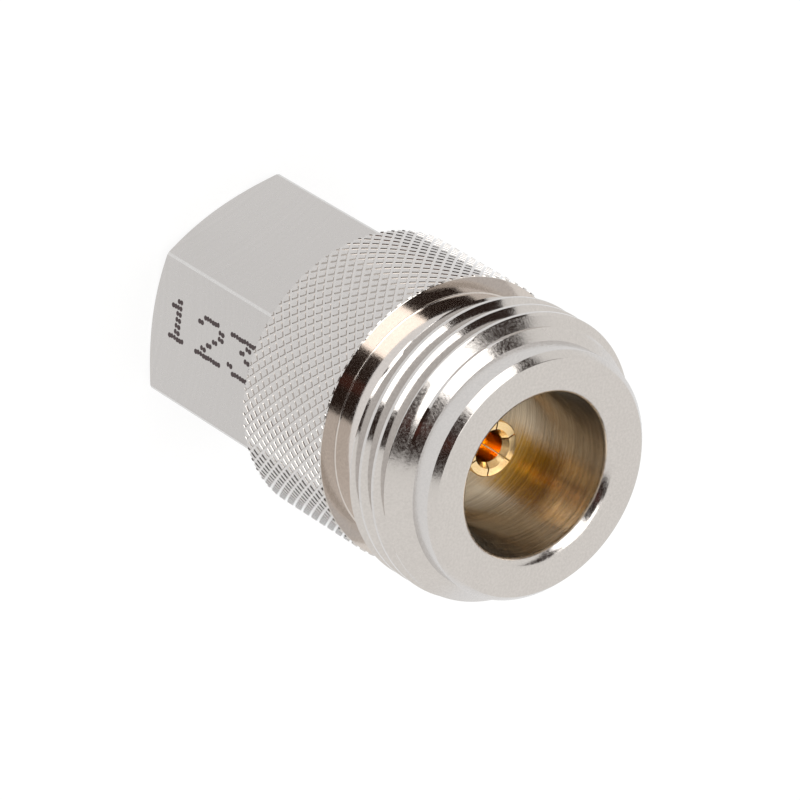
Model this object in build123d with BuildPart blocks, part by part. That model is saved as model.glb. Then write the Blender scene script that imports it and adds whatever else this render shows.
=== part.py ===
"""Coaxial terminator: a screw-thread jack closed by a 50 ohm load, standing on its hexagon end.

Millimetres. The axis is Z, the rear face lies on Z = 0 and the mouth looks along +Z.
The marked flat of the hexagon faces -Y.
"""

import os
from math import floor, radians, tan

from build123d import *

# Lengths along the axis
LENGTH = 25.0                # rear face to mouth
KNURL_LENGTH = 6.72          # knurled band
SHOULDER_DEPTH = 8.0         # mouth to the knurled band's front face
THREAD_END_DEPTH = 5.44      # mouth to the last crest
LEAD_DEPTH = 2.57            # mouth to the crest's end of the lead cone
NOSE_LENGTH = 1.585          # nose in front of the lead cone, with its chamfer
NOSE_CHAMFER_LENGTH = 0.385
BORE_DEPTH = 9.1             # mouth to the reference plane
CONTACT_DEPTH = 3.98         # mouth to the contact's tip

# Outside diameters
HEX_SIDES = 6
ACROSS_FLATS = 13.0
CORNER_DIAMETER = 14.92      # turned lands left at the hexagon's corners
REAR_FACE_DIAMETER = 12.72
REAR_CHAMFER_ANGLE = 30.0
KNURL_DIAMETER = 15.7
KNURL_EDGE_BREAK = 0.08
NECK_RELIEF = 0.995          # neck below the crest, on the radius
NECK_FILLET = 0.45
NOSE_RELIEF = 1.105          # nose below the crest, on the radius
NOSE_CHAMFER_DROP = 0.33     # front ring's outer edge below the nose, on the radius

# Thread, 24 to the inch on a nominal 5/8 inch, right hand
THREAD_DIAMETER = 15.75      # crest as cut, inside the tolerance below 15.875
THREAD_PITCH = 25.4 / 24
THREAD_DEPTH = 0.63
GROOVE_WIDTH = 0.88          # at the crest
THREAD_FLANK_ANGLE = 30.0    # each flank from the radius
THREAD_PHASE_DEPTH = 2.73    # mouth to the middle of the groove at the +X side
THREAD_LEAD_TURNS = 1        # turns of the groove in front of that point, out through the lead cone
RUNOUT_ANGLE = 40.0          # rear end of the thread, from the radius

# Mouth and bores
LIP_DIAMETER = 9.7           # flat ring's inner edge
MOUTH_DIAMETER = 8.84        # bottom of the rounded lip
LIP_DEPTH = 0.65
LEAD_IN_DEPTH = 1.9          # end of the taper behind the lip
BORE_DIAMETER = 8.13
LINE_DIAMETER = 7.0          # 50 ohm line around a 3.04 contact
CAVITY_DIAMETER = 5.0        # around the resistor

# Centre contact
CONTACT_DIAMETER = 3.04
CONTACT_EDGE_BREAK = 0.05
SOCKET_DIAMETER = 1.65
SOCKET_DEPTH = 5.0
COUNTERSINK_DIAMETER = 2.15
COUNTERSINK_DEPTH = 0.3
SLOT_COUNT = 6
SLOT_WIDTH = 0.1
SLOT_DEPTH = 4.3
SLOT_ANGLE = -3.0            # first slot, from +X
STEM_DIAMETER = 2.0
STEM_HOLE_DEPTH = 1.8
STEM_TAIL = 1.4              # stem behind the bead

# Insulator bead
BEAD_LENGTH = 2.4
BEAD_RECESS = 0.6            # bead's front face behind the reference plane

# Resistor and its caps
ROD_DIAMETER = 1.6
ROD_LENGTH = 6.0
CAP_DIAMETER = 2.2
CAP_DEPTH = 1.1              # rod inside each cap
CAP_FLOOR = 0.4
CAP_PIN_DIAMETER = 1.0
CAP_PIN_LENGTH = 1.8
CAP_GAP = 0.2                # front cap to the contact's stem
REAR_SOCKET_DEPTH = 1.5

# Fits
PRESS_CLEARANCE = 0.01       # on the radius, pieces pushed together
SOLDER_CLEARANCE = 0.02      # on the radius, rod in its caps

# Diameters and stations worked out from the sizes above
NECK_DIAMETER = THREAD_DIAMETER - 2 * NECK_RELIEF
NOSE_DIAMETER = THREAD_DIAMETER - 2 * NOSE_RELIEF
KNURL_TOP_Z = LENGTH - SHOULDER_DEPTH
HEX_TOP_Z = KNURL_TOP_Z - KNURL_LENGTH
THREAD_REAR_Z = LENGTH - THREAD_END_DEPTH
THREAD_FRONT_Z = LENGTH - LEAD_DEPTH
LEAD_START_Z = LENGTH - NOSE_LENGTH
REFERENCE_Z = LENGTH - BORE_DEPTH
CONTACT_TIP_Z = LENGTH - CONTACT_DEPTH
BEAD_FRONT_Z = REFERENCE_Z - BEAD_RECESS
BEAD_REAR_Z = BEAD_FRONT_Z - BEAD_LENGTH
STEM_END_Z = BEAD_REAR_Z - STEM_TAIL
FRONT_CAP_TOP_Z = STEM_END_Z - CAP_GAP
ROD_TOP_Z = FRONT_CAP_TOP_Z - CAP_FLOOR
ROD_BOTTOM_Z = ROD_TOP_Z - ROD_LENGTH
REAR_SEAT_Z = ROD_BOTTOM_Z - CAP_FLOOR
THREAD_PHASE_Z = LENGTH - THREAD_PHASE_DEPTH
THREAD_REAR_TURNS = floor((THREAD_PHASE_Z - KNURL_TOP_Z - GROOVE_WIDTH) / THREAD_PITCH)
CORNER_CHAMFER_Z = (CORNER_DIAMETER - REAR_FACE_DIAMETER) / 2 * tan(radians(REAR_CHAMFER_ANGLE))
FLANK_RUN = THREAD_DEPTH * tan(radians(THREAD_FLANK_ANGLE))
RUNOUT_LENGTH = NECK_RELIEF * tan(radians(RUNOUT_ANGLE))


# Body: one turned and milled piece
with BuildPart() as body:
    with BuildSketch(Plane.XZ) as outline:
        with BuildLine():
            Polyline(
                (MOUTH_DIAMETER / 2, LENGTH - LIP_DEPTH),
                (BORE_DIAMETER / 2, LENGTH - LEAD_IN_DEPTH),
                (BORE_DIAMETER / 2, REFERENCE_Z),
                (LINE_DIAMETER / 2, REFERENCE_Z),
                (LINE_DIAMETER / 2, BEAD_REAR_Z),
                (CAVITY_DIAMETER / 2, BEAD_REAR_Z),
                (CAVITY_DIAMETER / 2, REAR_SEAT_Z + REAR_SOCKET_DEPTH),
                (CAP_DIAMETER / 2 + PRESS_CLEARANCE, REAR_SEAT_Z + REAR_SOCKET_DEPTH),
                (CAP_DIAMETER / 2 + PRESS_CLEARANCE, REAR_SEAT_Z),
                (0, REAR_SEAT_Z),
                (0, 0),
                (REAR_FACE_DIAMETER / 2, 0),
                (CORNER_DIAMETER / 2, CORNER_CHAMFER_Z),
                (CORNER_DIAMETER / 2, HEX_TOP_Z),
                (KNURL_DIAMETER / 2, HEX_TOP_Z),
                (KNURL_DIAMETER / 2, KNURL_TOP_Z - KNURL_EDGE_BREAK),
                (KNURL_DIAMETER / 2 - KNURL_EDGE_BREAK, KNURL_TOP_Z),
                (NECK_DIAMETER / 2, KNURL_TOP_Z),
                (NECK_DIAMETER / 2, THREAD_REAR_Z - RUNOUT_LENGTH),
                (THREAD_DIAMETER / 2, THREAD_REAR_Z),
                (THREAD_DIAMETER / 2, THREAD_FRONT_Z),
                (NOSE_DIAMETER / 2, LEAD_START_Z),
                (NOSE_DIAMETER / 2, LENGTH - NOSE_CHAMFER_LENGTH),
                (NOSE_DIAMETER / 2 - NOSE_CHAMFER_DROP, LENGTH),
                (LIP_DIAMETER / 2, LENGTH),
            )
            EllipticalCenterArc(
                (LIP_DIAMETER / 2, LENGTH - LIP_DEPTH),
                (LIP_DIAMETER - MOUTH_DIAMETER) / 2,
                LIP_DEPTH,
                start_angle=90,
                arc_size=90,
            )
        make_face()
        runout_foot = outline.vertices().sort_by_distance(
            (NECK_DIAMETER / 2, THREAD_REAR_Z - RUNOUT_LENGTH)
        )[0]
        fillet(runout_foot, NECK_FILLET)
    revolve(axis=Axis.Z)

    # Flats of the hexagon
    with BuildSketch(Plane.XY):
        Circle(KNURL_DIAMETER)
        RegularPolygon(ACROSS_FLATS / 2, HEX_SIDES, major_radius=False, mode=Mode.SUBTRACT)
    extrude(amount=HEX_TOP_Z, mode=Mode.SUBTRACT)

    # Thread groove, one turn at a time, from the neck out through the lead cone
    for turn in range(-THREAD_REAR_TURNS, THREAD_LEAD_TURNS):
        with BuildPart(mode=Mode.SUBTRACT):
            with BuildLine() as helix:
                Helix(
                    THREAD_PITCH,
                    THREAD_PITCH,
                    THREAD_DIAMETER / 2,
                    center=(0, 0, THREAD_PHASE_Z + turn * THREAD_PITCH),
                )
            with BuildSketch(Plane(helix.line @ 0, x_dir=(1, 0, 0), z_dir=helix.line % 0)):
                with BuildLine():
                    Polyline(
                        (-THREAD_DEPTH, -GROOVE_WIDTH / 2 + FLANK_RUN),
                        (THREAD_DEPTH, -GROOVE_WIDTH / 2 - FLANK_RUN),
                        (THREAD_DEPTH, GROOVE_WIDTH / 2 + FLANK_RUN),
                        (-THREAD_DEPTH, GROOVE_WIDTH / 2 - FLANK_RUN),
                        close=True,
                    )
                make_face()
            sweep(is_frenet=True)
body.part.label = "body"

# Centre contact: turned, bored and slit into six tines
with BuildPart() as centre_contact:
    with BuildSketch(Plane.XZ):
        with BuildLine():
            Polyline(
                (0, CONTACT_TIP_Z - SOCKET_DEPTH),
                (SOCKET_DIAMETER / 2, CONTACT_TIP_Z - SOCKET_DEPTH),
                (SOCKET_DIAMETER / 2, CONTACT_TIP_Z - COUNTERSINK_DEPTH),
                (COUNTERSINK_DIAMETER / 2, CONTACT_TIP_Z),
                (CONTACT_DIAMETER / 2 - CONTACT_EDGE_BREAK, CONTACT_TIP_Z),
                (CONTACT_DIAMETER / 2, CONTACT_TIP_Z - CONTACT_EDGE_BREAK),
                (CONTACT_DIAMETER / 2, BEAD_FRONT_Z),
                (STEM_DIAMETER / 2, BEAD_FRONT_Z),
                (STEM_DIAMETER / 2, STEM_END_Z),
                (CAP_PIN_DIAMETER / 2 + PRESS_CLEARANCE, STEM_END_Z),
                (CAP_PIN_DIAMETER / 2 + PRESS_CLEARANCE, STEM_END_Z + STEM_HOLE_DEPTH),
                (0, STEM_END_Z + STEM_HOLE_DEPTH),
                close=True,
            )
        make_face()
    revolve(axis=Axis.Z)
    with BuildSketch(Plane.XY.offset(CONTACT_TIP_Z)):
        with PolarLocations(0, SLOT_COUNT, start_angle=SLOT_ANGLE):
            Rectangle(CONTACT_DIAMETER, SLOT_WIDTH, align=(Align.MIN, Align.CENTER))
    extrude(amount=-SLOT_DEPTH, mode=Mode.SUBTRACT)
centre_contact.part.label = "centre_contact"

# Insulator bead, pushed in against the step of the bore
with BuildPart() as insulator:
    with BuildSketch(Plane.XY.offset(BEAD_REAR_Z)):
        Circle(LINE_DIAMETER / 2 - PRESS_CLEARANCE)
        Circle(STEM_DIAMETER / 2 + PRESS_CLEARANCE, mode=Mode.SUBTRACT)
    extrude(amount=BEAD_LENGTH)
insulator.part.label = "insulator"

# Resistor: a coated ceramic rod
with BuildPart() as resistor:
    with BuildSketch(Plane.XY.offset(ROD_BOTTOM_Z)):
        Circle(ROD_DIAMETER / 2)
    extrude(amount=ROD_LENGTH)
resistor.part.label = "resistor"

# Front cap, with the pin that enters the contact's stem
with BuildPart() as front_cap:
    with BuildSketch(Plane.XZ):
        with BuildLine():
            Polyline(
                (0, ROD_TOP_Z),
                (ROD_DIAMETER / 2 + SOLDER_CLEARANCE, ROD_TOP_Z),
                (ROD_DIAMETER / 2 + SOLDER_CLEARANCE, ROD_TOP_Z - CAP_DEPTH),
                (CAP_DIAMETER / 2, ROD_TOP_Z - CAP_DEPTH),
                (CAP_DIAMETER / 2, FRONT_CAP_TOP_Z),
                (CAP_PIN_DIAMETER / 2, FRONT_CAP_TOP_Z),
                (CAP_PIN_DIAMETER / 2, FRONT_CAP_TOP_Z + CAP_PIN_LENGTH),
                (0, FRONT_CAP_TOP_Z + CAP_PIN_LENGTH),
                close=True,
            )
        make_face()
    revolve(axis=Axis.Z)
front_cap.part.label = "front_cap"

# Rear cap, pushed into the body's blind socket
with BuildPart() as rear_cap:
    with BuildSketch(Plane.XZ):
        with BuildLine():
            Polyline(
                (0, REAR_SEAT_Z),
                (CAP_DIAMETER / 2, REAR_SEAT_Z),
                (CAP_DIAMETER / 2, ROD_BOTTOM_Z + CAP_DEPTH),
                (ROD_DIAMETER / 2 + SOLDER_CLEARANCE, ROD_BOTTOM_Z + CAP_DEPTH),
                (ROD_DIAMETER / 2 + SOLDER_CLEARANCE, ROD_BOTTOM_Z),
                (0, ROD_BOTTOM_Z),
                close=True,
            )
        make_face()
    revolve(axis=Axis.Z)
rear_cap.part.label = "rear_cap"

os.makedirs("parts", exist_ok=True)
export_step(body.part, "parts/body.step")
export_step(centre_contact.part, "parts/centre_contact.step")
export_step(insulator.part, "parts/insulator.step")
export_step(resistor.part, "parts/resistor.step")
export_step(front_cap.part, "parts/front_cap.step")
export_step(rear_cap.part, "parts/rear_cap.step")
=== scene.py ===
# %% [markdown]
# ## A coaxial terminator, and the frame it is dressed around
# The real thing is a small nickel-plated jack with a load inside: a hexagon end, a knurled band, a thread and
# an open mouth with a gold contact. A scene could be modelled by itself, but its sizes would then drift from the
# solids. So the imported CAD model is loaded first, as a fixed frame that gives the whole size, and everything
# here is dressed around it, in metres with +Z out of the mouth.

# %% Load the frame
import bpy
import bmesh
from math import atan2, ceil, cos, degrees, hypot, pi, radians, sin, sqrt, tan
from mathutils import Matrix, Vector


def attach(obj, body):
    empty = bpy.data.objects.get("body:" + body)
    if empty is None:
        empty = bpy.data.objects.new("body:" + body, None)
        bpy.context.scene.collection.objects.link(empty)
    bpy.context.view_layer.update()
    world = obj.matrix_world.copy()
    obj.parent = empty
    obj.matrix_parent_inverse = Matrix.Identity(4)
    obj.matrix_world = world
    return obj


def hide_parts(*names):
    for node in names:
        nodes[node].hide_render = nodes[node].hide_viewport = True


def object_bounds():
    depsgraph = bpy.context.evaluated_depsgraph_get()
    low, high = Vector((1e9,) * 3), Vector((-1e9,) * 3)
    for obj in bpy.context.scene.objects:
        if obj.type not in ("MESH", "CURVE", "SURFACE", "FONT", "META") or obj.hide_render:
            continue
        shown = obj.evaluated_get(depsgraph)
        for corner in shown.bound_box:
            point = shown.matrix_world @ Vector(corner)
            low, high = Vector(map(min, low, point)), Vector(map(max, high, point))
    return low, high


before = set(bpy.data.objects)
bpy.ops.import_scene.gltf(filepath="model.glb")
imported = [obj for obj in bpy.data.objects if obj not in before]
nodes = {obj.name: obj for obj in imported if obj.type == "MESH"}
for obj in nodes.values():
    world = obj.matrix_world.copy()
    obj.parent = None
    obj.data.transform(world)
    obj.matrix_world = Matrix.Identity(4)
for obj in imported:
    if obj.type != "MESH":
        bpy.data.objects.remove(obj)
cad_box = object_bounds()
MM = 0.001
FRONT = round(cad_box[1][2] / MM, 3)                 # height of the mouth over the rear face
CREST_R = round(cad_box[1][0] / MM, 3)               # the thread's crests are the widest part


def mm(*values):
    """Millimetres as a vector in metres."""
    return Vector(values) * MM


def stand(name, data):
    """A new object in the scene."""
    thing = bpy.data.objects.new(name, data)
    bpy.context.scene.collection.objects.link(thing)
    return thing


print("nodes:", sorted(nodes))
print("lowest and highest corner in mm:", [[round(c / MM, 2) for c in corner] for corner in cad_box])

# %% [markdown]
# ## The camera
# The photograph looks down on the open mouth from the front, through a long lens, with the axis slanting across
# the frame. A camera could be aimed with a Track To constraint, but its roll would then be a guess. Here its
# three axes come from a fit to the outline and the rings of the mouth, so they go straight into its matrix.

# %% Camera
cam_right = Vector((-0.134912, 0.795018, 0.591393))
cam_up = Vector((-0.925478, 0.112104, -0.361832))
cam_back = Vector((-0.353961, -0.596138, 0.720649))
mouth_in_view = mm(7.01963, 3.91862, 326.93811)      # right, down and away from the lens
cam_place = mm(0, 0, FRONT) - cam_right * mouth_in_view.x + cam_up * mouth_in_view.y
cam_place += cam_back * mouth_in_view.z

camera_data = bpy.data.cameras.new("camera")
camera_data.sensor_width = 36
camera_data.lens = 294.39
camera_data.clip_start = 0.01
camera_data.clip_end = 20
camera = stand("camera", camera_data)
axes = Matrix((cam_right, cam_up, cam_back)).transposed()
camera.matrix_world = Matrix.Translation(cam_place) @ axes.to_4x4()
bpy.context.scene.camera = camera
CAMERA_TURN = atan2(cam_back.y, cam_back.x)          # the side of the part that looks at the camera
print("camera in mm:", [round(c / MM, 1) for c in cam_place])
print("it stands on the side of", round(degrees(CAMERA_TURN), 1), "degrees")

# %% [markdown]
# ## A few node helpers
# A material is a small machine of nodes. Writing each node with its links takes several lines, so a few helpers
# do it: they add a node, do one step of arithmetic, run a mask through a colour ramp, and give a shader its
# colour, its roughness and its bumps. Nothing is hidden in them, and each material reads from left to right.


# %% Node helpers
def add(tree, kind, values=None, **settings):
    """A node in a tree: settings are its own fields, values its input sockets by name or number."""
    node = tree.nodes.new(kind)
    for name, value in settings.items():
        setattr(node, name, value)
    for name, value in (values or {}).items():
        if isinstance(value, bpy.types.NodeSocket):
            tree.links.new(value, node.inputs[name])
        else:
            node.inputs[name].default_value = value
    return node


def maths(tree, operation, *values):
    """The result of one Math node."""
    return add(tree, "ShaderNodeMath", dict(enumerate(values)), operation=operation).outputs[0]


def colour_steps(tree, factor, *steps):
    """A colour ramp's result, from steps of (place, red, green, blue)."""
    ramp = add(tree, "ShaderNodeValToRGB", {0: factor})
    for element, (place, *rgb) in zip(ramp.color_ramp.elements, steps):
        element.position = place
        element.color = (*rgb, 1.0)
    return ramp.outputs[0]


def give_colour(tree, shader, factor, *steps):
    """A base colour that runs through steps with a mask."""
    tree.links.new(colour_steps(tree, factor, *steps), shader.inputs["Base Color"])


def give_roughness(tree, shader, factor, least, most):
    """A roughness that follows a mask."""
    spread = add(tree, "ShaderNodeMapRange", {"Value": factor, "To Min": least, "To Max": most})
    tree.links.new(spread.outputs[0], shader.inputs["Roughness"])


def give_bumps(tree, shader, *layers):
    """Bumps one on another, from layers of (height, strength, depth in millimetres)."""
    below = {}
    for height, strength, depth in layers:
        values = {"Strength": strength, "Distance": depth * MM, "Height": height, **below}
        below = {"Normal": add(tree, "ShaderNodeBump", values).outputs[0]}
    tree.links.new(below["Normal"], shader.inputs["Normal"])


def new_group(name, inputs, outputs):
    """An empty shader node group with named sockets: returns its tree, its input node and its output node."""
    tree = bpy.data.node_groups.new(name, "ShaderNodeTree")
    for label, value in inputs.items():
        kind = "NodeSocketVector" if value is None else "NodeSocketFloat"
        socket = tree.interface.new_socket(label, in_out="INPUT", socket_type=kind)
        if value is not None:
            socket.default_value = value
    for label in outputs:
        tree.interface.new_socket(label, in_out="OUTPUT", socket_type="NodeSocketFloat")
    return tree, tree.nodes.new("NodeGroupInput"), tree.nodes.new("NodeGroupOutput")


def use(tree, group, values):
    """A group placed in a material with its own values."""
    return add(tree, "ShaderNodeGroup", values, node_tree=group)


def new_material(name, **sockets):
    """A material with one Principled shader, whose constant values are set on its own sockets."""
    material = bpy.data.materials.new(name)
    material.use_nodes = True
    shader = material.node_tree.nodes["Principled BSDF"]
    for label, value in sockets.items():
        shader.inputs[label.replace("_", " ").title().replace("Ior", "IOR")].default_value = value
    return material, material.node_tree, shader


def position_mm(tree):
    """Object coordinates in millimetres."""
    coords = add(tree, "ShaderNodeTexCoord")
    values = {0: coords.outputs["Object"], "Scale": 1 / MM}
    return add(tree, "ShaderNodeVectorMath", values, operation="SCALE").outputs[0]


print("helpers ready")

# %% [markdown]
# ## Two effects that several finishes share
# Bright nickel over turned brass is never a perfect mirror. The plating is faintly pebbled at about a tenth of a
# millimetre, which breaks the rims of dark reflections into specks, and under it lie the lathe's fine rings.
# Each could be painted as a picture. As node groups they are built once, in real millimetres, and every finish
# sets its own strength.

# %% Plating and turning marks
plating, plating_in, plating_out = new_group("plating", {"Position": None, "Grain": 7.0}, ("Height", "Speckle"))
place = plating_in.outputs["Position"]
pebbles = add(plating, "ShaderNodeTexNoise",
              {"Vector": place, "Scale": plating_in.outputs["Grain"], "Detail": 3.0, "Roughness": 0.6})
clouds = add(plating, "ShaderNodeTexNoise", {"Vector": place, "Scale": 0.9, "Detail": 2.0, "Roughness": 0.5})
specks = add(plating, "ShaderNodeMapRange",
             {"Value": pebbles.outputs["Fac"], "From Min": 0.35, "From Max": 0.65})
cloud_share = maths(plating, "MULTIPLY", clouds.outputs["Fac"], 0.4)
both = maths(plating, "MULTIPLY_ADD", specks.outputs[0], 0.6, cloud_share)
plating.links.new(pebbles.outputs["Fac"], plating_out.inputs["Height"])
plating.links.new(both, plating_out.inputs["Speckle"])

turning, turning_in, turning_out = new_group("turning_marks", {"Position": None, "Rings": 9.0}, ("Height",))
place, rate = turning_in.outputs["Position"], turning_in.outputs["Rings"]
split = add(turning, "ShaderNodeSeparateXYZ", {0: place})
level = add(turning, "ShaderNodeVectorMath", {0: place, 1: (1, 1, 0)}, operation="MULTIPLY")
radius = add(turning, "ShaderNodeVectorMath", {0: level.outputs[0]}, operation="LENGTH")
turned_by = maths(turning, "ARCTAN2", split.outputs["Y"], split.outputs["X"])
ring_place = add(turning, "ShaderNodeCombineXYZ",
                 {"X": maths(turning, "MULTIPLY", radius.outputs["Value"], rate),
                  "Y": maths(turning, "MULTIPLY", split.outputs["Z"], rate),
                  "Z": maths(turning, "MULTIPLY", turned_by, 0.7)})
streaks = add(turning, "ShaderNodeTexNoise",
              {"Vector": ring_place.outputs[0], "Scale": 1.0, "Detail": 3.0, "Roughness": 0.7})
turning.links.new(streaks.outputs["Fac"], turning_out.inputs["Height"])
print("groups:", [group.name for group in bpy.data.node_groups])

# %% [markdown]
# ## Nickel plate
# One bath plated the whole body, yet each face has the shine of the cut below the plate. The thread and the neck
# are bright, the cone and the lip are worn dull in specks, the hexagon's corners and the knurl's pads are satin,
# and the bore is ringed by the boring tool. One material for all would look like plastic. Here they are one
# finish with its own values for each, and most of what the eye sees on them is the room.


# %% Nickel plate
def nickel_finish(name, colour, roughness, pebble=0.25, grain=7.0, rings=0.1, ring_rate=9.0, spread=0.1,
                  ring_shade=0.0):
    """Plated nickel. pebble and rings are the strengths of its bumps, grain and ring_rate their number in a
    millimetre, spread is what the specks add to the roughness, and ring_shade how far the rings darken."""
    material, tree, shader = new_material(name, metallic=1.0)
    place = position_mm(tree)
    plate = use(tree, plating, {"Position": place, "Grain": grain})
    lathe = use(tree, turning, {"Position": place, "Rings": ring_rate})
    darker, lighter = [c * 0.95 for c in colour], [min(1.0, c * 1.03) for c in colour]
    tint = colour_steps(tree, plate.outputs["Speckle"], (0.25, *darker), (0.75, *lighter))
    shade = colour_steps(tree, lathe.outputs["Height"], (0.38, *[1.0 - ring_shade] * 3), (0.62, 1.0, 1.0, 1.0))
    both = add(tree, "ShaderNodeVectorMath", {0: tint, 1: shade}, operation="MULTIPLY")
    tree.links.new(both.outputs[0], shader.inputs["Base Color"])
    give_roughness(tree, shader, plate.outputs["Speckle"], roughness, roughness + spread)
    give_bumps(tree, shader, (plate.outputs["Height"], pebble, 0.004), (lathe.outputs["Height"], rings, 0.004))
    return material


NICKEL = (0.645, 0.612, 0.583)
bright_nickel = nickel_finish("bright_nickel", NICKEL, 0.06)
neck_nickel = nickel_finish("neck_nickel", (0.665, 0.61, 0.565), 0.06, pebble=0.1)
worn_nickel = nickel_finish("worn_nickel", NICKEL, 0.1, pebble=0.8, spread=0.2)
satin_nickel = nickel_finish("satin_nickel", NICKEL, 0.22, pebble=0.5, rings=0.05)
# The corner lands are satin, and their lighter nickel is a painted highlight along the corners.
land_nickel_painted_highlight = nickel_finish("land_nickel_painted_highlight", (0.70, 0.675, 0.65), 0.2, pebble=0.2)
bored_nickel = nickel_finish("bored_nickel", (0.80, 0.70, 0.57), 0.13, pebble=0.05, rings=2.5, ring_rate=11.0,
                             ring_shade=0.3)
print("made", bright_nickel.name, neck_nickel.name, worn_nickel.name, satin_nickel.name, land_nickel_painted_highlight.name)

# %% [markdown]
# ## Reflections drawn out along the bore
# The boring tool left hundreds of fine rings, and each spreads light across itself, so the gold contact shows in
# the bore as long streaks that run along it. Real rings that fine would need millions of faces. The shader's
# Anisotropic value does the same, once its tangent runs along the axis.

# %% Bored nickel
bored_tree = bored_nickel.node_tree
bored_shader = bored_tree.nodes["Principled BSDF"]
bored_shader.inputs["Anisotropic"].default_value = 0.95
along_axis = add(bored_tree, "ShaderNodeCombineXYZ", {"Z": 1.0})
bored_tree.links.new(along_axis.outputs[0], bored_shader.inputs["Tangent"])
print(bored_nickel.name, "has its tangent along the axis")

# %% [markdown]
# ## Milled flats
# The six flats were cut by a milling cutter that swept over them, and it left faint arcs, each a part of a
# circle a few centimetres across. A Wave texture gives rings only about an axis. Here each arc is the distance
# from a middle that lies behind the rear face, so the arcs have the real curve, and noise breaks them up.

# %% Milled nickel
CUTTER_MIDDLE = (0, 0, -12.0)


def milled_finish(name, colour):
    """Nickel over the cutter's faint arcs."""
    material, tree, shader = new_material(name, metallic=1.0)
    place = position_mm(tree)
    plate = use(tree, plating, {"Position": place, "Grain": 6.0})
    arcs = add(tree, "ShaderNodeVectorMath", {0: place, 1: CUTTER_MIDDLE}, operation="DISTANCE")
    across = add(tree, "ShaderNodeCombineXYZ", {"X": maths(tree, "MULTIPLY", arcs.outputs["Value"], 4.0)})
    fine = add(tree, "ShaderNodeTexNoise",
               {"Vector": across.outputs[0], "Scale": 1.0, "Detail": 4.0, "Roughness": 0.65})
    darker, lighter = [c * 0.9 for c in colour], [c * 0.95 for c in colour]
    give_colour(tree, shader, fine.outputs["Fac"], (0.3, *darker), (0.7, *lighter))
    give_roughness(tree, shader, plate.outputs["Speckle"], 0.24, 0.36)
    give_bumps(tree, shader, (plate.outputs["Height"], 0.4, 0.004), (fine.outputs["Fac"], 0.25, 0.006))
    return material


milled_nickel = milled_finish("milled_nickel", NICKEL)
print("made", milled_nickel.name)

# %% [markdown]
# ## Gold, fluoropolymer, coated ceramic and tin
# The contact is gold over a springy copper alloy. Its tip shows pale gold in the light from the front, and its
# sides and the socket a deep one, because gold there reflects gold again and again. One gold for both came out
# too pale inside, so there are two, and the deeper gold of the sides and the socket is painted reflection of
# gold in gold. The bead is a waxy white plastic in which light sinks a little, the rod has a smooth coloured
# coat over ceramic, and its caps are dull tin.


# %% Other finishes
def gold_finish(name, darker, lighter):
    """Gold plate between two of its shades."""
    material, tree, shader = new_material(name, metallic=1.0)
    place = position_mm(tree)
    plate = use(tree, plating, {"Position": place, "Grain": 9.0})
    lathe = use(tree, turning, {"Position": place, "Rings": 12.0})
    give_colour(tree, shader, plate.outputs["Speckle"], (0.2, *darker), (0.8, *lighter))
    give_roughness(tree, shader, plate.outputs["Speckle"], 0.12, 0.22)
    give_bumps(tree, shader, (lathe.outputs["Height"], 0.35, 0.004))
    return material


tip_gold = gold_finish("tip_gold", (0.92, 0.66, 0.33), (0.97, 0.72, 0.40))
# The deep gold is the contact's gold, darker and redder, as painted reflection of gold in gold.
deep_gold_painted_reflection = gold_finish("deep_gold_painted_reflection", (0.98, 0.57, 0.02), (1.0, 0.63, 0.03))

white_bead, tree, shader = new_material("white_bead", subsurface_weight=0.3, subsurface_scale=0.0006,
                                        subsurface_radius=(1.0, 0.9, 0.8))
marks = use(tree, turning, {"Position": position_mm(tree), "Rings": 6.0}).outputs["Height"]
give_colour(tree, shader, marks, (0.2, 0.55, 0.53, 0.48), (0.8, 0.64, 0.62, 0.57))
give_roughness(tree, shader, marks, 0.38, 0.52)
give_bumps(tree, shader, (marks, 0.4, 0.01))

coated_rod, tree, shader = new_material("coated_rod", coat_weight=0.3)
coat = use(tree, plating, {"Position": position_mm(tree), "Grain": 5.0})
give_colour(tree, shader, coat.outputs["Speckle"], (0.2, 0.08, 0.13, 0.18), (0.8, 0.11, 0.17, 0.23))
give_roughness(tree, shader, coat.outputs["Speckle"], 0.3, 0.45)
give_bumps(tree, shader, (coat.outputs["Height"], 0.4, 0.01))

dull_tin = nickel_finish("dull_tin", (0.62, 0.61, 0.58), 0.34, pebble=0.6, grain=5.0)
print("made", tip_gold.name, deep_gold_painted_reflection.name, white_bead.name, coated_rod.name, dull_tin.name)

# %% [markdown]
# ## Turning a profile
# Most of the part comes from a lathe, and so do its pieces here: half an outline is drawn as a chain of edges
# beside the axis, and a full spin about the axis turns it into a skin. A corner that the tool or the plating has
# rounded is bevelled in the outline, before the spin, so its roundness follows it all the way. Cuts that are not
# turned are made by planes. Merging the seam comes before the normals.

# %% Lathe helpers
STEPS = 240
ABOUT_AXIS = {"cent": (0, 0, 0), "axis": (0, 0, 1), "use_normal_flip": False, "use_duplicate": False}


def chain(bm, points):
    """Edges through (radius, height) points in millimetres, in the XZ plane. Returns their vertices."""
    made = [bm.verts.new(mm(r, 0, z)) for r, z in points]
    for a, b in zip(made, made[1:]):
        bm.edges.new((a, b))
    return made


def round_corner(bm, corner, size):
    """Rounds one corner of an outline, size millimetres back along both edges."""
    bmesh.ops.bevel(bm, geom=[corner], offset=size * MM, offset_type="OFFSET", segments=3, profile=0.5,
                    affect="VERTICES", material=-1)


def lathe_turn(bm, steps):
    """Spins everything in the bmesh once about the axis and merges what meets on it."""
    bmesh.ops.spin(bm, geom=bm.verts[:] + bm.edges[:], dvec=(0, 0, 0), angle=2 * pi, steps=steps,
                   use_merge=True, **ABOUT_AXIS)
    bmesh.ops.remove_doubles(bm, verts=bm.verts[:], dist=0.0002 * MM)


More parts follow.
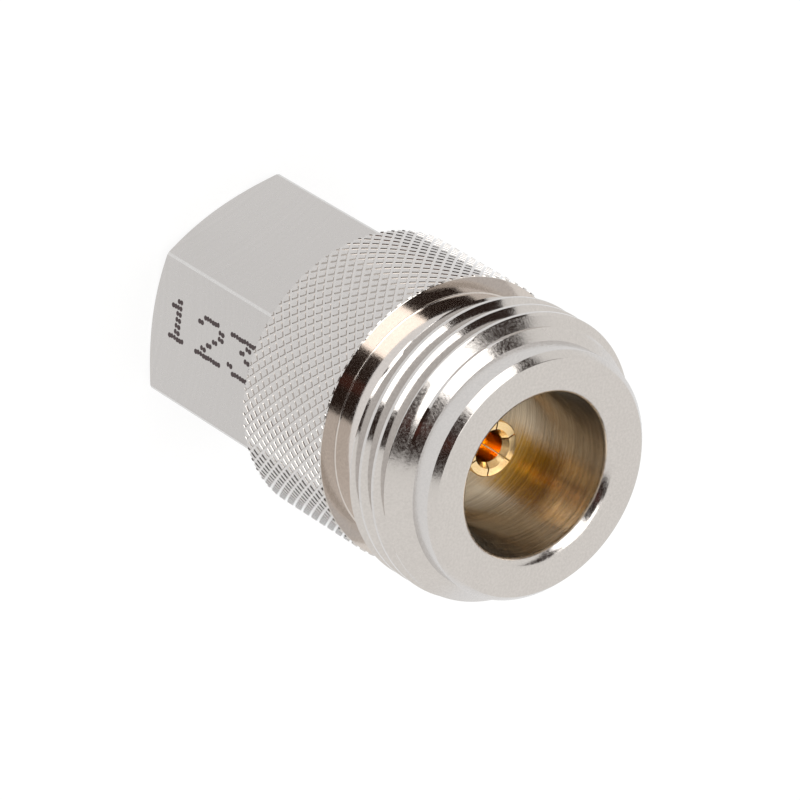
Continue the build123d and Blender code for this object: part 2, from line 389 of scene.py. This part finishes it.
def plane_cut(bm, at, outwards, near=1e-8, clear=True):
    """Cuts by a plane, and clears what lies outwards of it unless told not to. Returns the cut's edges."""
    cut = bmesh.ops.bisect_plane(bm, geom=bm.verts[:] + bm.edges[:] + bm.faces[:], dist=near, plane_co=at,
                                 plane_no=outwards, clear_outer=clear)
    return [e for e in cut["geom_cut"] if isinstance(e, bmesh.types.BMEdge)]


def radius_of(point):
    """Distance from the axis in millimetres."""
    return hypot(point.x, point.y) / MM


def finish_piece(bm, name, materials, sharp_above=28.0):
    """Makes a piece from a bmesh: smooth, with its sharp edges kept, riding on the frame."""
    mesh = bpy.data.meshes.new(name)
    bm.to_mesh(mesh)
    bm.free()
    mesh.shade_smooth()
    mesh.set_sharp_from_angle(angle=radians(sharp_above))
    for material in materials:
        mesh.materials.append(material)
    piece = stand(name, mesh)
    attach(piece, "root")
    mesh.calc_loop_triangles()
    print(name, "has", len(mesh.loop_triangles), "triangles")
    return piece


print("a full turn has", STEPS, "steps")

# %% [markdown]
# ## The hexagon end
# The rear end is bar stock, turned to a chamfer and then milled flat on six sides, which leaves narrow rounded
# lands at the corners. A six-sided cylinder would lose those lands. So the turned blank comes first, and six
# planes cut it, each filling its own flat, as the cutter did. The flats run on a little way inside the band.

# %% Hexagon end
ACROSS_FLATS, CORNER_R, REAR_R = 13.0, 7.46, 6.36
CHAMFER_END = (CORNER_R - REAR_R) * tan(radians(30))
HEX_TOP, HIDDEN = 10.28, 0.3
bm = bmesh.new()
blank = chain(bm, [(0, 0), (REAR_R, 0), (CORNER_R, CHAMFER_END), (CORNER_R, HEX_TOP + HIDDEN)])
round_corner(bm, blank[1], 0.06)
lathe_turn(bm, STEPS)
for side in range(6):
    out = Matrix.Rotation(radians(90 + 60 * side), 3, "Z") @ Vector((1, 0, 0))
    along = Vector((-out.y, out.x, 0))
    rim = plane_cut(bm, out * ACROSS_FLATS / 2 * MM, out)
    top = {v for e in rim for v in e.verts if v.co.z > (HEX_TOP + HIDDEN - 0.01) * MM}
    ends = sorted(top, key=lambda v: v.co.dot(along))
    closing = (ends[0], ends[-1])
    rim.append(bm.edges.get(closing) or bm.edges.new(closing))
    for face in bmesh.ops.contextual_create(bm, geom=rim)["faces"]:
        face.material_index = 1                      # milled
bmesh.ops.recalc_face_normals(bm, faces=bm.faces[:])
# The lands get the lighter nickel, whose extra lightness is a painted highlight.
for face in bm.faces:
    if face.material_index == 0 and abs(face.normal.z) < 0.1:
        face.material_index = 2                      # the lands at the corners
hexagon_end = finish_piece(bm, "hexagon_end", [satin_nickel, milled_nickel, land_nickel_painted_highlight],
                           sharp_above=14.0)

# %% [markdown]
# ## The knurled band
# The band's diamonds are pressed in by two crossing wheels, which leave flat pads between grooves at 45 degrees.
# The grooves have flat floors and steep walls, and each pad has a soft edge. A bump texture looks right only
# from afar and leaves the rim smooth. Here the band is real mesh: a flat grid turned by 45 degrees gets its
# grooves, walls and pads by three insets, is cut to the band's size and is then wrapped round the axis.

# %% Knurled band
KNURL_R, KNURL_TOP, NECK_R = 7.85, 17.0, 6.88
ROUND = 2 * pi * KNURL_R
STARTS = 70
SIDE = ROUND / STARTS / sqrt(2)                      # side of one diamond
GROOVE_FLOOR = 0.065                                 # half the width of a groove's floor
GROOVE_WALL, GROOVE_DEEP = 0.02, 0.055               # how far a wall leans out over its depth
PAD_EDGE, PAD_RISE = 0.03, 0.006
EDGE_BREAK = 0.08                                    # the small cone at the band's front edge
BAND = (KNURL_TOP - HEX_TOP) * MM                    # the band's width in metres
OFF_POINTS = 0.03 * MM                               # keeps the band's edges off the diamonds' corners
RIM_STEP, BAND_HOLE_R = 0.15, 6.3                    # the end rings' first step, and their hole inside the flats
bm = bmesh.new()
cells = ceil((ROUND + KNURL_TOP - HEX_TOP) / sqrt(2) / SIDE / 2) * 2 + 4
bmesh.ops.create_grid(bm, x_segments=cells, y_segments=cells, size=cells * SIDE * MM / 2)
bmesh.ops.rotate(bm, verts=bm.verts[:], matrix=Matrix.Rotation(radians(45), 3, "Z"))
bmesh.ops.inset_individual(bm, faces=bm.faces[:], thickness=GROOVE_FLOOR * MM, depth=0, use_even_offset=True)
feet = [f for f in bm.faces if f.calc_area() > (SIDE * MM / 2) ** 2]
bmesh.ops.inset_individual(bm, faces=feet, thickness=GROOVE_WALL * MM, depth=GROOVE_DEEP * MM,
                           use_even_offset=True)
pads = [f for f in bm.faces if all(v.co.z > GROOVE_DEEP * MM / 2 for v in f.verts)]
bmesh.ops.inset_individual(bm, faces=pads, thickness=PAD_EDGE * MM, depth=PAD_RISE * MM, use_even_offset=True)
bmesh.ops.translate(bm, verts=bm.verts[:],
                    vec=(ROUND * MM / 2, BAND / 2 + OFF_POINTS, -(GROOVE_DEEP + PAD_RISE) * MM))
plane_cut(bm, (0, 0, 0), (-1, 0, 0))
plane_cut(bm, (ROUND * MM, 0, 0), (1, 0, 0))
plane_cut(bm, (0, 0, 0), (0, -1, 0))
plane_cut(bm, (0, BAND, 0), (0, 1, 0))
plane_cut(bm, (0, BAND - EDGE_BREAK * MM, 0), (0, 1, 0), clear=False)
plane_cut(bm, (0, BAND - EDGE_BREAK * MM / 3, 0), (0, 1, 0), clear=False)
for vert in bm.verts:
    angle = vert.co.x / (KNURL_R * MM)
    out = min(KNURL_R * MM + vert.co.z, (KNURL_R - EDGE_BREAK) * MM + BAND - vert.co.y)
    vert.co = Vector((out * cos(angle), out * sin(angle), HEX_TOP * MM + vert.co.y))
bmesh.ops.remove_doubles(bm, verts=bm.verts[:], dist=0.001 * MM)


def close_end(bm, height, inner):
    """Closes an open end of the band with a flat ring, first to a circle and then to the inner radius."""
    rim = [e for e in bm.edges if e.is_boundary and all(abs(v.co.z - height * MM) < 1e-7 for v in e.verts)]
    for out in (KNURL_R - RIM_STEP, inner):
        made = bmesh.ops.extrude_edge_only(bm, edges=rim)["geom"]
        for vert in (g for g in made if isinstance(g, bmesh.types.BMVert)):
            around = atan2(vert.co.y, vert.co.x)
            vert.co = mm(out * cos(around), out * sin(around), height)
        rim = [g for g in made if isinstance(g, bmesh.types.BMEdge)]


close_end(bm, KNURL_TOP, NECK_R)
close_end(bm, HEX_TOP, BAND_HOLE_R)
bmesh.ops.recalc_face_normals(bm, faces=bm.faces[:])
for face in bm.faces:
    middle = face.calc_center_median()
    outwards = Vector((middle.x, middle.y, 0)).normalized()
    if abs(face.normal.z) > 0.9:
        face.material_index = 1                      # turned faces at the ends
    elif face.normal.dot(outwards) < 0.6 or radius_of(middle) < KNURL_R - PAD_RISE - GROOVE_DEEP / 2:
        face.material_index = 2                      # bright walls and floors
knurled_band = finish_piece(bm, "knurled_band", [satin_nickel, neck_nickel, bright_nickel],
                            sharp_above=20.0)

# %% [markdown]
# ## The neck and the thread
# The thread is one groove that a pointed tool cut along a helix, and it runs out through the cones at both ends.
# A stack of rings would be quicker, but a real thread climbs one pitch a turn. Here the groove's outline is spun
# about the axis with a climb of one pitch, so one turn joins on to the next. What stands out past the turned
# envelope is then pressed back on to it, which forms the cones, the neck with its small fillets and the run-out.

# %% Thread
PITCH, DEPTH = 25.4 / 24, 0.63
GROOVE_HALF, FLANK = 0.44, DEPTH * tan(radians(30))  # half the groove's width at the crest, and its flank's
PHASE = 22.27                                        # height of a groove's middle at +X
EDGE = 0.025                                         # how far a crest's edge is rounded
THREAD_REAR, THREAD_FRONT, LEAD_START = 19.56, 22.43, 23.415
NOSE_R = 6.77
SLOPE = radians(40)                                  # of the cone behind the thread, from square to the axis
RUNOUT_FOOT = THREAD_REAR - (CREST_R - NECK_R) * tan(SLOPE)
FOOT_ROUND, CORNER_ROUND = 0.45, 0.09                # fillets at the neck's two ends


def envelope(z):
    """Radius of the turned blank before the thread was cut, at a height in millimetres."""
    if z > THREAD_FRONT:
        return CREST_R - (CREST_R - NOSE_R) * (z - THREAD_FRONT) / (LEAD_START - THREAD_FRONT)
    if z > THREAD_REAR:
        return CREST_R
    if z < KNURL_TOP + CORNER_ROUND:
        return NECK_R + CORNER_ROUND - sqrt(CORNER_ROUND ** 2 - (KNURL_TOP + CORNER_ROUND - z) ** 2)
    over = z - (RUNOUT_FOOT - FOOT_ROUND * tan((pi / 2 - SLOPE) / 2))
    if over < 0:
        return NECK_R
    if over < FOOT_ROUND * cos(SLOPE):
        return NECK_R + FOOT_ROUND - sqrt(FOOT_ROUND ** 2 - over ** 2)
    return NECK_R + (z - RUNOUT_FOOT) / tan(SLOPE)


groove = [(-GROOVE_HALF - EDGE, 0), (-GROOVE_HALF + EDGE * 0.3, EDGE * 0.55)]
groove += [(-GROOVE_HALF + FLANK * k / 5, DEPTH * k / 5) for k in range(1, 6)]
groove += [(GROOVE_HALF - FLANK * k / 5, DEPTH * k / 5) for k in range(5, 0, -1)]
groove += [(GROOVE_HALF - EDGE * 0.3, EDGE * 0.55), (GROOVE_HALF + EDGE, 0)]
crest = PITCH - 2 * (GROOVE_HALF + EDGE)
groove += [(GROOVE_HALF + EDGE + crest * k / 8, 0) for k in range(1, 8)]
bm = bmesh.new()
TURNS = range(-7, 3)                                 # past both ends
chain(bm, [(CREST_R - deep, PHASE + turn * PITCH + at) for turn in TURNS for at, deep in groove])
bmesh.ops.spin(bm, geom=bm.verts[:] + bm.edges[:], dvec=(0, 0, PITCH * MM / STEPS), angle=2 * pi, steps=STEPS,
               use_merge=False, **ABOUT_AXIS)
bmesh.ops.remove_doubles(bm, verts=bm.verts[:], dist=0.0005 * MM)
plane_cut(bm, mm(0, 0, KNURL_TOP), (0, 0, -1), near=1e-9)
plane_cut(bm, mm(0, 0, LEAD_START), (0, 0, 1), near=1e-9)
fillet_lines = [KNURL_TOP + CORNER_ROUND * share for share in (0.08, 0.2, 0.4, 0.7, 1.0)]
for height in (THREAD_FRONT, THREAD_REAR, *fillet_lines):
    plane_cut(bm, mm(0, 0, height), (0, 0, 1), near=1e-9, clear=False)
for vert in bm.verts:
    now, most = radius_of(vert.co), envelope(max(vert.co.z / MM, KNURL_TOP))
    if now > most:
        vert.co.x *= most / now
        vert.co.y *= most / now
bmesh.ops.recalc_face_normals(bm, faces=bm.faces[:])
sides = [(face.normal, face.calc_center_median()) for face in bm.faces]
if sum(normal.x * middle.x + normal.y * middle.y for normal, middle in sides) < 0:
    bmesh.ops.reverse_faces(bm, faces=bm.faces[:])
for face in bm.faces:
    height = face.calc_center_median().z / MM
    if height > THREAD_FRONT and face.normal.z > 0.6:
        face.material_index = 1                      # the worn lead cone
    elif height < RUNOUT_FOOT:
        face.material_index = 2                      # the neck
threaded_sleeve = finish_piece(bm, "threaded_sleeve", [bright_nickel, worn_nickel, neck_nickel],
                               sharp_above=24.0)

# %% [markdown]
# ## The nose, the mouth and the bore
# In front of the lead cone stands a plain nose with a chamfer. The outline turns in over a flat ring, rolls over
# a rounded lip and narrows along a taper to the main bore, which ends at the reference plane and the line that
# holds the bead. A boolean cut would leave the lip's roll in facets, so it is all one outline and one spin.

# %% Nose and bore
NOSE_CHAMFER_R, NOSE_CHAMFER_END = 6.44, 24.615
RING_R, LIP_R, LIP_END = 5.06, 4.42, 24.35           # the flat ring's inner edge, and where the lip's roll ends
BORE_R, TAPER_END, REFERENCE_PLANE = 4.065, 23.1, 15.9
LINE_R, BEAD_SEAT, BACK_HOLE_R = 3.5, 12.9, 2.5
lip = [(LIP_R + (RING_R - LIP_R) * (1 - sin(radians(turn))), LIP_END + (FRONT - LIP_END) * cos(radians(turn)))
       for turn in range(6, 91, 6)]
bm = bmesh.new()
outline = chain(bm, [
    (NOSE_R, LEAD_START), (NOSE_R, NOSE_CHAMFER_END), (NOSE_CHAMFER_R, FRONT), (RING_R, FRONT), *lip,
    (BORE_R, TAPER_END), (BORE_R, REFERENCE_PLANE), (LINE_R, REFERENCE_PLANE), (LINE_R, BEAD_SEAT),
    (BACK_HOLE_R, BEAD_SEAT),
])
round_corner(bm, outline[1], 0.03)
round_corner(bm, outline[2], 0.03)
lathe_turn(bm, STEPS)
for face in bm.faces:
    middle = face.calc_center_median()
    if radius_of(middle) < LIP_R + 0.01 and middle.z < (LIP_END + 0.05) * MM:
        face.material_index = 1                      # bored
    elif radius_of(middle) < RING_R - 0.01 or middle.z < (FRONT - 0.01) * MM:
        face.material_index = 2                      # the worn lip and nose
bmesh.ops.recalc_face_normals(bm, faces=bm.faces[:])
front_faces = (face for face in bm.faces if face.calc_center_median().z > (FRONT - 0.01) * MM)
if max(front_faces, key=lambda face: face.calc_area()).normal.z < 0:
    bmesh.ops.reverse_faces(bm, faces=bm.faces[:])
nose_and_bore = finish_piece(bm, "nose_and_bore", [bright_nickel, bored_nickel, worn_nickel])
for piece in (hexagon_end, knurled_band, threaded_sleeve, nose_and_bore):
    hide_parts("body")

# %% [markdown]
# ## The contact
# The gold contact is a tube slit into six tines that spring round the plug's pin. A tube could be cut by six
# boxes, but booleans on such thin slots are fragile. Here each tine is the tube's wall spun through a sixth of a
# turn and cut back by two planes, half a slot's width from the middle of each slot. So the slots have parallel
# walls, as a slitting saw leaves them. The solid stem behind them has the socket's drill point.

# %% Contact
TINES, FIRST_SLOT, SLOT_HALF = 6, -3, 0.04           # the first slot's turn in degrees, half a slot's width
TIP, SLOT_END = 21.02, 16.72
SOCKET_R, COUNTERSINK_R, COUNTERSINK_DEEP = 0.825, 1.075, 0.3
CONTACT_R, TIP_EDGE = 1.52, 0.05
SOCKET_END, DRILL_POINT = 16.02, 15.6
SHOULDER, STEM_R, STEM_REAR = 15.3, 1.0, 11.5
PIN_HOLE_R, PIN_HOLE_END = 0.51, 13.3


def move_into(bm, part):
    """Adds one bmesh to another and frees it."""
    held = bpy.data.meshes.new("held")
    part.to_mesh(held)
    part.free()
    bm.from_mesh(held)
    bpy.data.meshes.remove(held)


wall = [(SOCKET_R, SLOT_END), (SOCKET_R, TIP - COUNTERSINK_DEEP), (COUNTERSINK_R, TIP),
        (CONTACT_R - TIP_EDGE, TIP), (CONTACT_R, TIP - TIP_EDGE), (CONTACT_R, SLOT_END)]
sixth = radians(360 / TINES)
bm = bmesh.new()
for tine in range(TINES):
    start = radians(FIRST_SLOT) + sixth * tine
    part = bmesh.new()
    section = part.faces.new([part.verts.new(mm(r, 0, z)) for r, z in wall])
    bmesh.ops.rotate(part, verts=part.verts[:], matrix=Matrix.Rotation(start, 3, "Z"), cent=(0, 0, 0))
    bmesh.ops.spin(part, geom=[section, *section.verts, *section.edges], dvec=(0, 0, 0), angle=sixth, steps=24,
                   use_merge=False, **ABOUT_AXIS)
    for angle, sign in ((start, 1), (start + sixth, -1)):
        inwards = Vector((-sin(angle), cos(angle), 0)) * sign
        rim = plane_cut(part, inwards * SLOT_HALF * MM, -inwards, near=1e-9)
        bmesh.ops.contextual_create(part, geom=rim)
    bmesh.ops.recalc_face_normals(part, faces=part.faces[:])
    move_into(bm, part)
stem = bmesh.new()
chain(stem, [(0, DRILL_POINT), (SOCKET_R, SOCKET_END), (SOCKET_R, SLOT_END), (CONTACT_R, SLOT_END),
             (CONTACT_R, SHOULDER), (STEM_R, SHOULDER), (STEM_R, STEM_REAR), (PIN_HOLE_R, STEM_REAR),
             (PIN_HOLE_R, PIN_HOLE_END), (0, PIN_HOLE_END)])
lathe_turn(stem, 96)
bmesh.ops.recalc_face_normals(stem, faces=stem.faces[:])
move_into(bm, stem)
# Faces that look up at the tip get the pale gold, and all others the deep gold of painted reflection.
for face in bm.faces:
    at_tip = face.normal.z > 0.5 and face.calc_center_median().z > (TIP - 1) * MM
    face.material_index = 0 if at_tip else 1
contact_tines = finish_piece(bm, "contact_tines", [tip_gold, deep_gold_painted_reflection])
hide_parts("centre_contact")

# %% [markdown]
# ## The pieces that need only a finish
# The bead, the rod and its two caps lie inside the real part. They could be turned again here, but they are
# plain shapes, so their CAD meshes are right as they are. Each only gets its own material.

# %% Finishes for the CAD pieces
FINISHES = {"insulator": white_bead, "resistor": coated_rod, "front_cap": dull_tin, "rear_cap": dull_tin}
for name, material in FINISHES.items():
    nodes[name].data.materials.clear()
    nodes[name].data.materials.append(material)
    print(name, "->", material.name)

# %% [markdown]
# ## Numbers on the flat
# The real part has a short mark on one flat, written in ink as rows of small dots. Plain numbers stand there
# here. A text object would give smooth strokes. So each dot is laid out from little five by seven patterns, as
# two flat drops of ink side by side along the axis, as the photograph shows them.

# %% Ink dots
DIGITS = {
    "1": ("..#..", ".##..", "..#..", "..#..", "..#..", "..#..", ".###."),
    "2": (".###.", "#...#", "....#", "...#.", "..#..", ".#...", "#####"),
    "3": ("#####", "...#.", "..#..", "...#.", "....#", "#...#", ".###."),
}
FIRST_DIGIT, DIGIT_STEP = 1.25, 2.85                 # heights over the rear face
FIRST_ROW, ROW_STEP, COLUMN_STEP, DROP_STEP = -1.6, 0.335, 0.46, 0.23
DROP_R, INK_Y, INK_THICK = 0.14, -ACROSS_FLATS / 2 - 0.002, 0.0015
ink, tree, shader = new_material("ink", specular_ior_level=0.3)
blot = add(tree, "ShaderNodeTexNoise", {"Vector": position_mm(tree), "Scale": 9.0, "Detail": 3.0})
give_colour(tree, shader, blot.outputs["Fac"], (0.3, 0.055, 0.036, 0.036), (0.7, 0.085, 0.06, 0.06))
give_roughness(tree, shader, blot.outputs["Fac"], 0.4, 0.65)


def ink_drop(bm, height, row, column, drop):
    """One flat drop on the marked flat, a little off its place and its round shape, the same in every run."""
    verts = bmesh.ops.create_circle(bm, cap_ends=True, segments=12, radius=DROP_R * MM)["verts"]
    wobble = sin(12.9 * row + 78.2 * column + 3.1 * height + 2.4 * drop)
    bmesh.ops.scale(bm, verts=verts, vec=(1.0, 1.0 + 0.15 * wobble, 1.0))
    bmesh.ops.rotate(bm, verts=verts, matrix=Matrix.Rotation(radians(90), 3, "X"), cent=(0, 0, 0))
    across = FIRST_ROW + ROW_STEP * row + 0.02 * wobble
    along = height + COLUMN_STEP * column + DROP_STEP * drop + 0.015 * wobble
    bmesh.ops.translate(bm, verts=verts, vec=mm(across, INK_Y - INK_THICK * drop, along))


bm = bmesh.new()
for number, digit in enumerate("123"):
    for row, line in enumerate(DIGITS[digit]):
        for column in (at for at, mark in enumerate(line) if mark == "#"):
            for drop in (0, 1):
                ink_drop(bm, FIRST_DIGIT + DIGIT_STEP * number, row, column, drop)
for face in bm.faces:
    if face.normal.y > 0:
        face.normal_flip()
finish_piece(bm, "ink_dots", [ink])

# %% [markdown]
# ## The studio
# The part stands on a pale floor in soft light. Chrome-like metal shows the room more than itself, so the room
# matters: photographers put a soft light and dark things round it, just outside the picture. The cones and the
# neck show a tall dark shape behind the lens, a white box beside it and another dark shape after that. A picture
# of a room could be wrapped round the scene. Here each shape is a patch of a large sphere that only reflections
# see, so it neither shows nor shades. A narrow lamp stands over the mouth, because the soft light hardly
# reaches the bore and the socket.


# %% Studio
def new_tree(holder):
    """The emptied node tree of a material or a world."""
    holder.use_nodes = True
    holder.node_tree.nodes.clear()
    return holder.node_tree


def end_tree(tree, kind, surface):
    """The output node of a material or a world, with its surface."""
    add(tree, kind, {"Surface": surface.outputs[0]})


def card(name, low, high, colour, strength=1.0, reach=0.45):
    """A patch of a sphere round the mouth. low and high are (height, first turn, last turn) in degrees, with
    the turns counted from the side that looks at the camera."""
    bm = bmesh.new()
    bmesh.ops.create_grid(bm, x_segments=24, y_segments=12, size=0.5)
    for vert in bm.verts:
        across, up = vert.co.x + 0.5, vert.co.y + 0.5
        height, first, last = (a + (b - a) * up for a, b in zip(low, high))
        turn = CAMERA_TURN + radians(first + (last - first) * across)
        level = reach * cos(radians(height))
        vert.co = Vector((level * cos(turn), level * sin(turn), FRONT * MM + reach * sin(radians(height))))
    mesh = bpy.data.meshes.new(name)
    bm.to_mesh(mesh)
    bm.free()
    glow = bpy.data.materials.new(name)
    tree = new_tree(glow)
    light = add(tree, "ShaderNodeEmission", {"Color": (*colour, 1), "Strength": strength})
    end_tree(tree, "ShaderNodeOutputMaterial", light)
    mesh.materials.append(glow)
    piece = stand(name, mesh)
    for ray in ("camera", "diffuse", "shadow", "transmission", "volume_scatter"):
        setattr(piece, "visible_" + ray, False)


DARK_BROWN, DARK_RED, SOFT_WHITE = (0.030, 0.018, 0.014), (0.085, 0.032, 0.024), (1.0, 0.99, 0.975)
BOX_LIGHT = 2.7
card("dark_low", (0, -14, 38), (28, -16, 42), DARK_BROWN)
card("dark_middle", (28, -16, 42), (58, -18, 46), DARK_BROWN)
card("dark_high", (58, 12, 52), (76, 15, 60), DARK_BROWN)
card("dark_red", (0, 10, 20), (58, 10, 20), DARK_RED, reach=0.44)
card("white_low", (0, -60, -14), (28, -66, -16), SOFT_WHITE, BOX_LIGHT)
card("white_middle", (28, -66, -16), (58, -68, -18), SOFT_WHITE, BOX_LIGHT)
card("white_high", (58, -88, 12), (80, -88, 15), SOFT_WHITE, BOX_LIGHT)
card("side_low", (0, -71, -60), (28, -86, -66), DARK_BROWN)
card("side_middle", (28, -86, -66), (44, -122, -66), DARK_BROWN)
card("side_high", (44, -122, -66), (58, -118, -68), DARK_BROWN)

lamp_data = bpy.data.lights.new("lamp_over_the_mouth", "SPOT")
lamp_data.energy = 4.2
lamp_data.spot_size = radians(1.3)
lamp_data.spot_blend = 0.7
lamp_data.shadow_soft_size = 0.002
lamp = stand("lamp_over_the_mouth", lamp_data)
lamp.location = mm(0, 0, 270)
print("cards and lamp stand round the part")

# %% [markdown]
# ## The floor and the light all round
# The floor is pale paper. A plain diffuse floor comes out grey under soft light, and more light would bleach the
# part, so the camera sees it mostly as white light with a share of the paper, which keeps the part's faint
# shadow. Reflections see it clean and slightly cool. The light all round is white to the camera too, and a
# little warmer to the part.

# %% Floor and world
floor_material = bpy.data.materials.new("pale_floor")
tree = new_tree(floor_material)
paper = add(tree, "ShaderNodeTexNoise", {"Vector": position_mm(tree), "Scale": 0.6, "Detail": 2.0})
tint = colour_steps(tree, paper.outputs["Fac"], (0.3, 0.93, 0.93, 0.93), (0.7, 0.95, 0.95, 0.95))
matt = add(tree, "ShaderNodeBsdfDiffuse", {"Color": tint})
clean = add(tree, "ShaderNodeEmission", {"Color": (0.985, 1.0, 1.02, 1), "Strength": 1.0})
bright = add(tree, "ShaderNodeEmission", {"Color": (1, 1, 1, 1), "Strength": 1.1})
rays = add(tree, "ShaderNodeLightPath")
white_share = maths(tree, "MULTIPLY", rays.outputs["Is Camera Ray"], 0.75)
seen = add(tree, "ShaderNodeMixShader", {0: white_share, 1: matt.outputs[0], 2: bright.outputs[0]})
mirrored = add(tree, "ShaderNodeMixShader",
               {0: rays.outputs["Is Glossy Ray"], 1: seen.outputs[0], 2: clean.outputs[0]})
end_tree(tree, "ShaderNodeOutputMaterial", mirrored)
bm = bmesh.new()
bmesh.ops.create_grid(bm, x_segments=1, y_segments=1, size=3.0)
mesh = bpy.data.meshes.new("floor")
bm.to_mesh(mesh)
bm.free()
mesh.materials.append(floor_material)
floor = stand("floor", mesh)

world = bpy.data.worlds.new("studio")
bpy.context.scene.world = world
tree = new_tree(world)
rays = add(tree, "ShaderNodeLightPath")
soft = add(tree, "ShaderNodeBackground", {"Color": (*SOFT_WHITE, 1), "Strength": 0.95})
white = add(tree, "ShaderNodeBackground", {"Color": (1, 1, 1, 1), "Strength": 1.0})
both = add(tree, "ShaderNodeMixShader",
           {0: rays.outputs["Is Camera Ray"], 1: soft.outputs[0], 2: white.outputs[0]})
end_tree(tree, "ShaderNodeOutputWorld", both)
bpy.context.scene.view_settings.view_transform = "Standard"
print("floor and world are ready")
